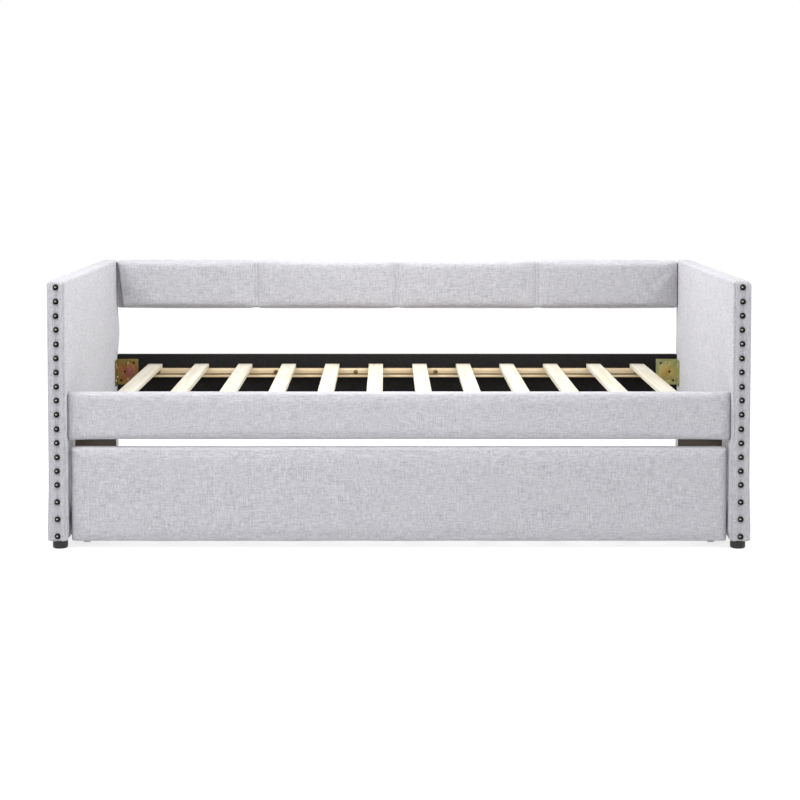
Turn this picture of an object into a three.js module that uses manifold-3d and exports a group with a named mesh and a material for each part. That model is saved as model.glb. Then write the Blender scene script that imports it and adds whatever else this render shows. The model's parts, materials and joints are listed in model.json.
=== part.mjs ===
// An upholstered twin daybed with a pull-out trundle.
// Millimetres, +Z up, front towards -Y, origin on the floor under the centre of the bed.
import * as THREE from "three";
import { mergeVertices } from "three/addons/utils/BufferGeometryUtils.js";
import Module from "manifold-3d";

// Overall size
const WIDTH = 2070;
const DEPTH = 1080;
const HEIGHT = 794;
const FRONT = -DEPTH / 2;
const BACK = DEPTH / 2;

// Room left between pieces that touch
const GAP = 0.3;

// Padding: fabric and foam over a board, and how round its edges are
const PADDING = 6.5;
const PAD_ROUND = 9;
const BACKREST_ROUND = 18;
const ROUND_STEPS = 2;

// Arm panels
const ARM_THICK = 54;
const ARM_INNER = WIDTH / 2 - ARM_THICK;
const NAIL_PROUD = 3.2;
const ARM_FRONT = FRONT + NAIL_PROUD + GAP;
const ARM_STILE = 50;
const ARM_BAYS = 4;
const ARM_EDGE_RAIL = 60;

// Nailheads down the front of each arm
const NAIL_RADIUS = 8.2;
const NAIL_X = 1009;
const NAIL_FROM_TOP = 18.6;
const NAIL_PITCH = 41.8;
const NAIL_COUNT = 15;
const LOW_NAIL_PITCH = 51;
const LOW_NAIL_COUNT = 3;
const NAIL_STRIP_WIDTH = 4;
const NAIL_STRIP_THICK = 0.8;

// Feet
const FOOT_RADIUS = 22.5;
const FOOT_CHAMFER = 3;
const FOOT_HEIGHT = 22;
const FOOT_X = 1005;
const FOOT_Y = 512;

// Rails that join the arms
const RAIL_BOTTOM = 322;
const RAIL_TOP = 463;
const FRONT_RAIL_FACE = -518;
const FRONT_RAIL_BACK = -485;
const REAR_RAIL_FACE = 515;
const BACKREST_BOTTOM = 629;
const BACKREST_THICK = 45;
const BACKREST_BOARD = 22;
const BACKREST_EDGE = 22.5;

// Slats and the ledgers they rest on
const SLAT_COUNT = 12;
const SLAT_PITCH = 152.4;
const FIRST_SLAT = -847;
const SECOND_SLAT = -683.8;
const SLAT_WIDTH = 50;
const SLAT_THICK = 15;
const SLAT_END_GAP = 1.5;
const LEDGER_HALF = 865;
const LEDGER_TOP = 415;
const LEDGER_TALL = 30;
const LEDGER_DEEP = 20;
const LEDGER_LIP = 8;
const LEDGER_GROOVE = 2;

// Steel corner plates between rails and arms
const PLATE_THICK = 2.5;
const PLATE_BOTTOM = 357;
const PLATE_TALL = 90;
const PLATE_ON_RAIL = 74;
const PLATE_ON_ARM = 60;
const PLATE_HOLE = 4;
// Holes in each leg: how far in from its free edge, and how far up as a share of its height
const RAIL_LEG_HOLES = [[17, 0.84], [37, 0.84], [48, 0.5], [37, 0.22], [61, 0.16]];
const ARM_LEG_HOLES = [[15, 0.8], [15, 0.2], [38, 0.68], [38, 0.32]];

// Trundle
const TRUNDLE_HALF = 969;
const TRUNDLE_FACE = -521;
const TRUNDLE_PANEL = 30;
const TRUNDLE_PANEL_HALF = 973;
const TRUNDLE_PANEL_BOTTOM = 17;
const TRUNDLE_PANEL_TOP = 301;
const TRUNDLE_BACK = 518;
const TRUNDLE_RAIL_BOTTOM = 35;
const TRUNDLE_RAIL_TOP = 120;
const TRUNDLE_SIDE_THICK = 15;
const TRUNDLE_REAR_THICK = 20;
const TRUNDLE_LEDGER_TOP = 90;
const TRUNDLE_RABBET = 10;
const TRUNDLE_SLAT_COUNT = 9;
const TRUNDLE_SLAT_PITCH = 210;

// Casters under the trundle
const WHEEL_RADIUS = 25;
const WHEEL_HALF_WIDTH = 9;
const HUB_RADIUS = 10;
const HUB_HALF_WIDTH = 11;
const CHEEK_THICK = 2.5;
const CHEEK_SPACE = 26;
const CHEEK_BOTTOM = 13;
const BRACKET_WEB_TOP = 60;
const BRACKET_TOP = 85;
const BRACKET_HALF_LENGTH = 24;
const AXLE_RADIUS = 4;
const AXLE_HEAD_RADIUS = 6;
const AXLE_HEAD = 2;
const CASTER_Y = 430;

const COLOURS = {
  fabric: [0xc9c9ce, 0.95, 0],
  pine: [0xe6d6b4, 0.7, 0],
  board: [0xc8b48c, 0.8, 0],
  black_cloth: [0x2e2c2c, 0.95, 0],
  nail: [0x57504b, 0.35, 0.9],
  zinc: [0xa08a5e, 0.4, 0.9],
  steel: [0x9a9ca0, 0.4, 0.9],
  plastic: [0x26241f, 0.6, 0],
  wheel: [0x2b2b2d, 0.5, 0],
};

const wasm = await Module();
wasm.setup();

const part = new THREE.Group();

// Side 1 keeps a shape on the right, and side -1 mirrors it to the left
function addMesh(name, colour, geometry, side = 1) {
  const [color, roughness, metalness] = COLOURS[colour];
  const material = new THREE.MeshStandardMaterial({ color, roughness, metalness });
  const mesh = new THREE.Mesh(geometry, material);
  mesh.name = name;
  mesh.scale.x = side;
  part.add(mesh);
}

// ---- geometry helpers ----

function box(low, high) {
  const size = high.map((value, i) => value - low[i]);
  const geometry = new THREE.BoxGeometry(...size);
  return geometry.translate(...low.map((value, i) => value + size[i] / 2));
}

function roundedRectangle(left, bottom, right, top, radius) {
  const shape = new THREE.Shape();
  shape.absarc(right - radius, top - radius, radius, 0, Math.PI / 2);
  shape.absarc(left + radius, top - radius, radius, Math.PI / 2, Math.PI);
  shape.absarc(left + radius, bottom + radius, radius, Math.PI, 1.5 * Math.PI);
  shape.absarc(right - radius, bottom + radius, radius, 1.5 * Math.PI, 2 * Math.PI);
  return shape;
}

function polygon(points) {
  return new THREE.Shape(points.map(([x, y]) => new THREE.Vector2(x, y)));
}

// Where a section's own axes u, v and its length go: rows give x, y and z
const SECTION_TURNS = {
  x: [0, 0, 1, 0, 1, 0, 0, 0, 0, 1, 0, 0],
  y: [0, 1, 0, 0, 0, 0, 1, 0, 1, 0, 0, 0],
  z: [1, 0, 0, 0, 0, 1, 0, 0, 0, 0, 1, 0],
};

// A section carried along one axis: drawn in YZ for x, in ZX for y and in XY for z
function extrude(shape, axis, from, to) {
  const options = { depth: to - from, bevelEnabled: false, curveSegments: ROUND_STEPS };
  const geometry = new THREE.ExtrudeGeometry(shape, options).translate(0, 0, from);
  return geometry.applyMatrix4(new THREE.Matrix4().set(...SECTION_TURNS[axis], 0, 0, 0, 1));
}

// A box with every edge rounded: what three rounded bars along X, Y and Z share
function roundedBox([x0, y0, z0], [x1, y1, z1], radius) {
  const bars = [
    extrude(roundedRectangle(y0, z0, y1, z1, radius), "x", x0, x1),
    extrude(roundedRectangle(z0, x0, z1, x1, radius), "y", y0, y1),
    extrude(roundedRectangle(x0, y0, x1, y1, radius), "z", z0, z1),
  ];
  return geometryOf(bars.map(solid).reduce((shared, bar) => shared.intersect(bar)));
}

// A cylinder along X whose end faces are at x = from and x = to.
function pinAlongX(radius, from, to, y, z, sides = 16) {
  const geometry = new THREE.CylinderGeometry(radius, radius, to - from, sides);
  return geometry.rotateZ(Math.PI / 2).translate((from + to) / 2, y, z);
}

// A cylinder along Y whose end faces are at y = from and y = to.
function pinAlongY(radius, from, to, x, z, sides = 12) {
  const geometry = new THREE.CylinderGeometry(radius, radius, to - from, sides);
  return geometry.translate(x, (from + to) / 2, z);
}

function solid(geometry) {
  const bare = geometry.index ? geometry.toNonIndexed() : geometry.clone();
  bare.deleteAttribute("normal");
  bare.deleteAttribute("uv");
  const merged = mergeVertices(bare, 1e-3);
  const mesh = new wasm.Mesh({
    numProp: 3,
    vertProperties: merged.attributes.position.array,
    triVerts: new Uint32Array(merged.index.array),
  });
  return new wasm.Manifold(mesh);
}

function geometryOf(body) {
  const { vertProperties, triVerts } = body.getMesh();
  const geometry = new THREE.BufferGeometry();
  geometry.setAttribute("position", new THREE.BufferAttribute(vertProperties, 3));
  geometry.setIndex(new THREE.BufferAttribute(triVerts, 1));
  geometry.computeVertexNormals();
  return geometry;
}

function cut(geometry, tools) {
  const body = tools.reduce((rest, tool) => rest.subtract(solid(tool)), solid(geometry));
  return geometryOf(body);
}

function join(geometries) {
  const body = geometries.map(solid).reduce((whole, next) => whole.add(next));
  return geometryOf(body);
}

const SIDES = [["left", -1], ["right", 1]];
const ENDS = [["front", -1], ["rear", 1]];

// ---- arms ----

// A ladder of rails and stiles, cut from one slab
function armFrame() {
  const inner = ARM_INNER + PADDING + GAP;
  const outer = WIDTH / 2 - PADDING - GAP;
  const bottom = FOOT_HEIGHT + GAP;
  const top = HEIGHT - PADDING - GAP;
  const front = ARM_FRONT + PADDING + GAP;
  const back = BACK - PADDING - GAP;
  const bay = (back - front - ARM_STILE) / ARM_BAYS;
  const windows = [];
  for (let i = 0; i < ARM_BAYS; i++) {
    const from = front + ARM_STILE + i * bay;
    const to = from + bay - ARM_STILE;
    windows.push(box([inner - 1, from, bottom + ARM_EDGE_RAIL], [outer + 1, to, RAIL_BOTTOM]));
    windows.push(box([inner - 1, from, RAIL_TOP], [outer + 1, to, top - ARM_EDGE_RAIL]));
  }
  return cut(box([inner, front, bottom], [outer, back, top]), windows);
}

// Fabric and foam over all of the panel but its bottom edge
function armCover() {
  const skin = roundedBox(
    [ARM_INNER, ARM_FRONT, FOOT_HEIGHT],
    [WIDTH / 2, BACK, HEIGHT],
    PAD_ROUND,
  );
  const hollow = box(
    [ARM_INNER + PADDING, ARM_FRONT + PADDING, 0],
    [WIDTH / 2 - PADDING, BACK - PADDING, HEIGHT - PADDING],
  );
  return cut(skin, [hollow]);
}

function nailHeights() {
  const heights = [];
  for (let i = 0; i < NAIL_COUNT; i++) heights.push(HEIGHT - NAIL_FROM_TOP - i * NAIL_PITCH);
  const last = heights[NAIL_COUNT - 1];
  for (let i = 1; i <= LOW_NAIL_COUNT; i++) heights.push(last - i * LOW_NAIL_PITCH);
  return heights;
}

// One domed nailhead, its base on the arm's front face
function nailDome(z) {
  const quarter = [0, 0.33, 0.67].map((share) => (share * Math.PI) / 2);
  const rim = quarter.map((angle) => [
    NAIL_RADIUS * Math.cos(angle),
    NAIL_PROUD * Math.sin(angle),
  ]);
  const profile = [[0, 0], ...rim, [0, NAIL_PROUD]];
  const dome = new THREE.LatheGeometry(profile.map(([x, y]) => new THREE.Vector2(x, y)), 12);
  return dome.rotateX(Math.PI).translate(NAIL_X, ARM_FRONT - GAP, z);
}

function nailheadRow() {
  const heights = nailHeights();
  const strip = box(
    [NAIL_X - NAIL_STRIP_WIDTH / 2, ARM_FRONT - GAP - NAIL_STRIP_THICK, heights.at(-1)],
    [NAIL_X + NAIL_STRIP_WIDTH / 2, ARM_FRONT - GAP, heights[0]],
  );
  return join([strip, ...heights.map(nailDome)]);
}

function foot(y) {
  const profile = [
    [0, 0],
    [FOOT_RADIUS - FOOT_CHAMFER, 0],
    [FOOT_RADIUS, FOOT_CHAMFER],
    [FOOT_RADIUS, FOOT_HEIGHT - GAP],
    [0, FOOT_HEIGHT - GAP],
  ];
  const turned = new THREE.LatheGeometry(profile.map(([x, z]) => new THREE.Vector2(x, z)), 24);
  return turned.rotateX(Math.PI / 2).translate(FOOT_X, y, 0);
}

function addArms() {
  for (const [sideName, side] of SIDES) {
    addMesh(`arm_frame_${sideName}`, "board", armFrame(), side);
    addMesh(`arm_cover_${sideName}`, "fabric", armCover(), side);
    addMesh(`nailhead_row_${sideName}`, "nail", nailheadRow(), side);
    for (const [endName, end] of ENDS)
      addMesh(`foot_${endName}_${sideName}`, "plastic", foot(end * FOOT_Y), side);
  }
}

// ---- backrest and rails ----

const BETWEEN_ARMS = ARM_INNER - GAP;

function addBackrest() {
  const front = BACK - BACKREST_THICK;
  const middle = BACK - BACKREST_THICK / 2;
  const board = [
    middle - BACKREST_BOARD / 2,
    BACKREST_BOTTOM + BACKREST_EDGE,
    middle + BACKREST_BOARD / 2,
    HEIGHT - BACKREST_EDGE,
  ];
  const sleeve = roundedRectangle(front, BACKREST_BOTTOM, BACK, HEIGHT, BACKREST_ROUND);
  const [left, bottom, right, top] = board;
  sleeve.holes.push(
    polygon([
      [left - GAP, bottom - GAP],
      [left - GAP, top + GAP],
      [right + GAP, top + GAP],
      [right + GAP, bottom - GAP],
    ]),
  );
  addMesh("backrest_cover", "fabric", extrude(sleeve, "x", -BETWEEN_ARMS, BETWEEN_ARMS));
  addMesh(
    "backrest_board",
    "board",
    box([-BETWEEN_ARMS, left, bottom], [BETWEEN_ARMS, right, top]),
  );
}

// A padded cover that wraps a board's front, edges and ends and is open at its back
function paddedPanel(name, half, face, back, bottom, top, skin) {
  const hollow = box(
    [-half + PADDING, face + PADDING, bottom + PADDING],
    [half - PADDING, back + 1, top - PADDING],
  );
  const inside = PADDING + GAP;
  addMesh(`${name}_cover`, "fabric", cut(skin, [hollow]));
  addMesh(
    `${name}_board`,
    "board",
    box(
      [-half + inside, face + inside, bottom + inside],
      [half - inside, back, top - inside],
    ),
  );
}

function addRails() {
  const section = roundedRectangle(
    FRONT_RAIL_FACE,
    RAIL_BOTTOM,
    FRONT_RAIL_BACK,
    RAIL_TOP,
    PAD_ROUND,
  );
  paddedPanel(
    "front_rail",
    BETWEEN_ARMS,
    FRONT_RAIL_FACE,
    FRONT_RAIL_BACK,
    RAIL_BOTTOM,
    RAIL_TOP,
    extrude(section, "x", -BETWEEN_ARMS, BETWEEN_ARMS),
  );
  addMesh(
    "rear_rail",
    "black_cloth",
    box([-BETWEEN_ARMS, REAR_RAIL_FACE, RAIL_BOTTOM], [BETWEEN_ARMS, BACK, RAIL_TOP]),
  );
}

// ---- slats ----

// A ledger against a rail's inner face; inward is 1 where the bed lies towards +Y of it
function ledger(railFace, inward) {
  const bottom = LEDGER_TOP - LEDGER_TALL;
  const lip = bottom + LEDGER_LIP;
  const near = railFace + inward * GAP;
  const far = railFace + inward * LEDGER_DEEP;
  const recess = far - inward * LEDGER_GROOVE;
  const outline = [
    [near, bottom],
    [far, bottom],
    [far, lip],
    [recess, lip + LEDGER_GROOVE],
    [recess, LEDGER_TOP],
    [near, LEDGER_TOP],
  ];
  return extrude(polygon(outline), "x", -LEDGER_HALF, LEDGER_HALF);
}

function addSlats() {
  addMesh("slat_ledger_front", "pine", ledger(FRONT_RAIL_BACK, 1));
  addMesh("slat_ledger_rear", "pine", ledger(REAR_RAIL_FACE, -1));
  for (let i = 0; i < SLAT_COUNT; i++) {
    const x = i === 0 ? FIRST_SLAT : SECOND_SLAT + (i - 1) * SLAT_PITCH;
    const low = [x - SLAT_WIDTH / 2, FRONT_RAIL_BACK + SLAT_END_GAP, LEDGER_TOP + GAP];
    const high = [
      x + SLAT_WIDTH / 2,
      REAR_RAIL_FACE - SLAT_END_GAP,
      LEDGER_TOP + GAP + SLAT_THICK,
    ];
    addMesh(`slat_${String(i + 1).padStart(2, "0")}`, "pine", box(low, high));
  }
}

// ---- corner plates ----

// An L of sheet steel, one leg on the rail's inner face and one on the arm
function cornerPlate(railFace, inward) {
  const x = ARM_INNER - GAP;
  const y = railFace + inward * GAP;
  const yFar = railFace + inward * PLATE_ON_ARM;
  const yThin = y + inward * PLATE_THICK;
  const span = (a, b) => [Math.min(a, b), Math.max(a, b)];
  const [railLow, railHigh] = span(y, yThin);
  const [armLow, armHigh] = span(y, yFar);
  const top = PLATE_BOTTOM + PLATE_TALL;
  const railLeg = box([ARM_INNER - PLATE_ON_RAIL, railLow, PLATE_BOTTOM], [x, railHigh, top]);
  const armLeg = box([x - PLATE_THICK, armLow, PLATE_BOTTOM], [x, armHigh, top]);
  const railHoles = RAIL_LEG_HOLES.map(([edge, share]) =>
    pinAlongY(
      PLATE_HOLE,
      railLow - 1,
      railHigh + 1,
      ARM_INNER - PLATE_ON_RAIL + edge,
      PLATE_BOTTOM + PLATE_TALL * share,
    ),
  );
  const armHoles = ARM_LEG_HOLES.map(([edge, share]) =>
    pinAlongX(
      PLATE_HOLE,
      x - PLATE_THICK - 1,
      x + 1,
      yFar - inward * edge,
      PLATE_BOTTOM + PLATE_TALL * share,
      12,
    ),
  );
  return cut(join([railLeg, armLeg]), [...railHoles, ...armHoles]);
}

function addCornerPlates() {
  const rails = { front: [FRONT_RAIL_BACK, 1], rear: [REAR_RAIL_FACE, -1] };
  for (const [sideName, side] of SIDES)
    for (const [endName] of ENDS) {
      const plate = cornerPlate(...rails[endName]);
      addMesh(`corner_bracket_${endName}_${sideName}`, "zinc", plate, side);
    }
}

// ---- trundle ----

const TRUNDLE_PANEL_BACK = TRUNDLE_FACE + TRUNDLE_PANEL;
const TRUNDLE_REAR_FACE = TRUNDLE_BACK - TRUNDLE_REAR_THICK;
const TRUNDLE_SIDE_INNER = TRUNDLE_HALF - TRUNDLE_SIDE_THICK;

function addTrundleFront() {
  const skin = roundedBox(
    [-TRUNDLE_PANEL_HALF, TRUNDLE_FACE, TRUNDLE_PANEL_BOTTOM],
    [TRUNDLE_PANEL_HALF, TRUNDLE_PANEL_BACK, TRUNDLE_PANEL_TOP],
    PAD_ROUND,
  );
  paddedPanel(
    "trundle_front",
    TRUNDLE_PANEL_HALF,
    TRUNDLE_FACE,
    TRUNDLE_PANEL_BACK,
    TRUNDLE_PANEL_BOTTOM,
    TRUNDLE_PANEL_TOP,
    skin,
  );
}

function addTrundleFrame() {
  // The rear rail's upper inner edge is cut away to make a shelf for the slats
  const rear = polygon([
    [TRUNDLE_REAR_FACE, TRUNDLE_RAIL_BOTTOM],
    [TRUNDLE_BACK, TRUNDLE_RAIL_BOTTOM],
    [TRUNDLE_BACK, TRUNDLE_RAIL_TOP],
    [TRUNDLE_REAR_FACE + TRUNDLE_RABBET, TRUNDLE_RAIL_TOP],
    [TRUNDLE_REAR_FACE + TRUNDLE_RABBET, TRUNDLE_LEDGER_TOP],
    [TRUNDLE_REAR_FACE, TRUNDLE_LEDGER_TOP],
  ]);
  addMesh("trundle_rear_rail", "pine", extrude(rear, "x", -TRUNDLE_HALF, TRUNDLE_HALF));
  const front = TRUNDLE_PANEL_BACK + GAP;
  for (const [sideName, side] of SIDES) {
    const rail = box(
      [TRUNDLE_SIDE_INNER, front, TRUNDLE_RAIL_BOTTOM],
      [TRUNDLE_HALF, TRUNDLE_REAR_FACE - GAP, TRUNDLE_RAIL_TOP],
    );
    addMesh(`trundle_side_rail_${sideName}`, "pine", rail, side);
  }
  const half = TRUNDLE_SIDE_INNER - GAP;
  addMesh(
    "trundle_ledger_front",
    "pine",
    box(
      [-half, front, TRUNDLE_LEDGER_TOP - LEDGER_TALL],
      [half, front + LEDGER_DEEP, TRUNDLE_LEDGER_TOP],
    ),
  );
}

function addTrundleSlats() {
  const first = (-TRUNDLE_SLAT_PITCH * (TRUNDLE_SLAT_COUNT - 1)) / 2;
  const bottom = TRUNDLE_LEDGER_TOP + GAP;
  for (let i = 0; i < TRUNDLE_SLAT_COUNT; i++) {
    const x = first + i * TRUNDLE_SLAT_PITCH;
    const slat = box(
      [x - SLAT_WIDTH / 2, TRUNDLE_PANEL_BACK + SLAT_END_GAP, bottom],
      [x + SLAT_WIDTH / 2, TRUNDLE_REAR_FACE + TRUNDLE_RABBET - SLAT_END_GAP, bottom + SLAT_THICK],
    );
    addMesh(`trundle_slat_${i + 1}`, "pine", slat);
  }
}

// ---- casters ----

const CHEEK_OUTER = TRUNDLE_SIDE_INNER - GAP;
const CHEEK_INNER = CHEEK_OUTER - CHEEK_THICK - CHEEK_SPACE;
const WHEEL_X = CHEEK_INNER + CHEEK_SPACE / 2;

// Two cheeks and a web round the wheel; the outer cheek runs up the side rail
function casterBracket(y) {
  const front = y - BRACKET_HALF_LENGTH;
  const back = y + BRACKET_HALF_LENGTH;
  const outerCheek = box(
    [CHEEK_OUTER - CHEEK_THICK, front, CHEEK_BOTTOM],
    [CHEEK_OUTER, back, BRACKET_TOP],
  );
  const innerCheek = box(
    [CHEEK_INNER - CHEEK_THICK, front, CHEEK_BOTTOM],
    [CHEEK_INNER, back, BRACKET_WEB_TOP],
  );
  const web = box(
    [CHEEK_INNER - CHEEK_THICK, front, BRACKET_WEB_TOP - CHEEK_THICK],
    [CHEEK_OUTER, back, BRACKET_WEB_TOP],
  );
  const hole = pinAlongX(AXLE_RADIUS + GAP, CHEEK_INNER - 10, CHEEK_OUTER + 10, y, WHEEL_RADIUS);
  return cut(join([outerCheek, innerCheek, web]), [hole]);
}

function casterAxle(y) {
  const left = CHEEK_INNER - CHEEK_THICK - GAP;
  const right = CHEEK_OUTER + GAP;
  const pin = pinAlongX(AXLE_RADIUS, left - AXLE_HEAD, right + AXLE_HEAD, y, WHEEL_RADIUS);
  const heads = [[left - AXLE_HEAD, left], [right, right + AXLE_HEAD]].map(([from, to]) =>
    pinAlongX(AXLE_HEAD_RADIUS, from, to, y, WHEEL_RADIUS),
  );
  return join([pin, ...heads]);
}

function casterWheel(y) {
  const bore = AXLE_RADIUS + GAP;
  const half = [
    [bore, HUB_HALF_WIDTH],
    [HUB_RADIUS, HUB_HALF_WIDTH],
    [HUB_RADIUS, WHEEL_HALF_WIDTH],
    [WHEEL_RADIUS - 3, WHEEL_HALF_WIDTH],
    [WHEEL_RADIUS, WHEEL_HALF_WIDTH - 3],
  ];
  const mirrored = half.map(([r, along]) => [r, -along]);
  const profile = [...mirrored, ...half.reverse(), mirrored[0]];
  const points = profile.map(([r, along]) => new THREE.Vector2(r, along));
  const wheel = new THREE.LatheGeometry(points, 24);
  return wheel.rotateZ(-Math.PI / 2).translate(WHEEL_X, y, WHEEL_RADIUS);
}

function addCasters() {
  for (const [sideName, side] of SIDES)
    for (const [endName, end] of ENDS) {
      const y = end * CASTER_Y;
      const place = `${endName}_${sideName}`;
      addMesh(`caster_bracket_${place}`, "steel", casterBracket(y), side);
      addMesh(`caster_axle_${place}`, "steel", casterAxle(y), side);
      addMesh(`caster_wheel_${place}`, "wheel", casterWheel(y), side);
    }
}

addArms();
addBackrest();
addRails();
addSlats();
addCornerPlates();
addTrundleFront();
addTrundleFrame();
addTrundleSlats();
addCasters();

export default part;
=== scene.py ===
import json
import math
import random

import bmesh
import bpy
import numpy as np
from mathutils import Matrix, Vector, noise
from mathutils.bvhtree import BVHTree

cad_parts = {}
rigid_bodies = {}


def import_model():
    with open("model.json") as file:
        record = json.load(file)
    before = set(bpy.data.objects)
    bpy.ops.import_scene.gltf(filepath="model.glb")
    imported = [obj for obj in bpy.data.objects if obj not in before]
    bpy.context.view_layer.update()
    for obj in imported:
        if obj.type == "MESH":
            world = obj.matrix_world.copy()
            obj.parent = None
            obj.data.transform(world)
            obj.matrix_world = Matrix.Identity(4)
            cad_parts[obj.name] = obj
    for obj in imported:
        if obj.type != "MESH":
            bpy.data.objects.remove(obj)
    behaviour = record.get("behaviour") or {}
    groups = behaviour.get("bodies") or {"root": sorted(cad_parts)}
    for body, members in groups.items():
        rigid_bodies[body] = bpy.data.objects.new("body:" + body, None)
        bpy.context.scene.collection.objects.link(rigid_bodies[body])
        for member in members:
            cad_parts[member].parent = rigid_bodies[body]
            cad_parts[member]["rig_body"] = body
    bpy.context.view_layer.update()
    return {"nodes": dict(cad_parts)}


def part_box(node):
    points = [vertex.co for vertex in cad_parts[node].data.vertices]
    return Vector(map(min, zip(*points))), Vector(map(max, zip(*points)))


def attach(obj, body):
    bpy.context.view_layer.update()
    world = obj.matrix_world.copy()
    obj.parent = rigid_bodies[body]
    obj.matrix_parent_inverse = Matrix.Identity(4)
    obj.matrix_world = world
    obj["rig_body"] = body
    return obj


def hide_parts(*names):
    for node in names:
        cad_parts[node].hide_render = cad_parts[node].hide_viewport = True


# Looks of a fabric daybed with a trundle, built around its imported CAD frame.
# X runs along the bed, -Y is its front and Z is up. Shapes are written in millimetres.

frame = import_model()
MM = 0.001
SIDES = {"left": -1, "right": 1}
CORNERS = [(end, place) for end in ("front", "rear") for place in SIDES]


def box(node):
    """Lowest and highest corner of a CAD node, in millimetres."""
    low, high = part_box(node)
    return np.array(low) / MM, np.array(high) / MM


# ---------------------------------------------------------------- materials


def shade(red, green, blue):
    """A linear colour from display levels of 0 to 255."""
    linear = []
    for level in (red, green, blue):
        value = level / 255
        linear.append(value / 12.92 if value <= 0.04045 else ((value + 0.055) / 1.055) ** 2.4)
    return (*linear, 1.0)


class Recipe:
    """One procedural material, with short calls that add and join its nodes."""

    def __init__(self, name, **constants):
        self.material = bpy.data.materials.new(name)
        self.material.use_nodes = True
        self.tree = self.material.node_tree
        self.shader = self.tree.nodes["Principled BSDF"]
        for key, value in constants.items():
            self.shader.inputs[key.replace("_", " ")].default_value = value
        coordinates = self.add("ShaderNodeTexCoord").outputs
        self.place, self.normal = coordinates["Object"], coordinates["Normal"]

    def add(self, kind, inputs=None, **settings):
        node = self.tree.nodes.new(kind)
        for key, value in settings.items():
            setattr(node, key, value)
        for key, value in (inputs or {}).items():
            self.give(node, key, value)
        return node

    def give(self, node, key, value):
        if isinstance(value, bpy.types.NodeSocket):
            self.tree.links.new(value, node.inputs[key])
        else:
            node.inputs[key].default_value = value

    def math(self, operation, first, second=0.0, third=0.0):
        node = self.add("ShaderNodeMath", operation=operation)
        for key, value in enumerate((first, second, third)):
            self.give(node, key, value)
        return node.outputs[0]

    def total(self, parts):
        """All the parts added up."""
        result = parts[0]
        for part in parts[1:]:
            result = self.math("ADD", result, part)
        return result

    def stretched(self, lengths):
        """The place on the object, divided by a length in millimetres along each axis."""
        node = self.add("ShaderNodeVectorMath", operation="MULTIPLY")
        self.give(node, 0, self.place)
        self.give(node, 1, tuple(1 / (length * MM) for length in lengths))
        return node.outputs[0]

    def noise(self, lengths, detail=1.0, roughness=0.5, distortion=0.0):
        """Noise from 0 to 1 with patches about as long as the lengths given."""
        inputs = {
            "Vector": self.stretched(lengths),
            "Scale": 1.0,
            "Detail": detail,
            "Roughness": roughness,
            "Distortion": distortion,
        }
        return self.add("ShaderNodeTexNoise", inputs).outputs["Fac"]

    def range(self, value, low, high, to_low=0.0, to_high=1.0):
        inputs = {0: value, 1: low, 2: high, 3: to_low, 4: to_high}
        return self.add("ShaderNodeMapRange", inputs).outputs[0]

    def mix(self, factor, first, second, blend="MIX"):
        inputs = {0: factor, 6: first, 7: second}
        node = self.add("ShaderNodeMix", inputs, data_type="RGBA", blend_type=blend)
        return node.outputs[2]

    def ramp(self, value, *stops):
        node = self.add("ShaderNodeValToRGB", {"Fac": value})
        elements = node.color_ramp.elements
        while len(elements) < len(stops):
            elements.new(0.5)
        for element, (position, colour) in zip(elements, stops):
            element.position = position
            element.color = colour
        return node.outputs[0]

    def waves(self, pitch):
        """One sine wave along each axis, pitch millimetres long."""
        parts = self.add("ShaderNodeSeparateXYZ", {0: self.stretched((pitch,) * 3)}).outputs
        return [self.math("SINE", self.math("MULTIPLY", part, 2 * math.pi)) for part in parts]

    def colour(self, value):
        self.give(self.shader, "Base Color", value)

    def rough(self, value):
        self.give(self.shader, "Roughness", value)

    def bump(self, height, depth, strength=1.0):
        """Surface relief, depth millimetres deep."""
        inputs = {"Height": height, "Distance": depth * MM, "Strength": strength}
        self.give(self.shader, "Normal", self.add("ShaderNodeBump", inputs).outputs[0])


# The linen's thread pitch, then the length, width and share of its fine and coarse slubs, and how far the
# noise strays from its middle between the darkest and the lightest yarn.
THREAD = 1.5
SLUBS = ((8.0, 1.3, 0.45), (27.0, 2.6, 0.55))
YARN_SPREAD = 0.14
# The pitch of the pressed dots of non-woven cloth.
DOT_PITCH = 2.4


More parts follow.
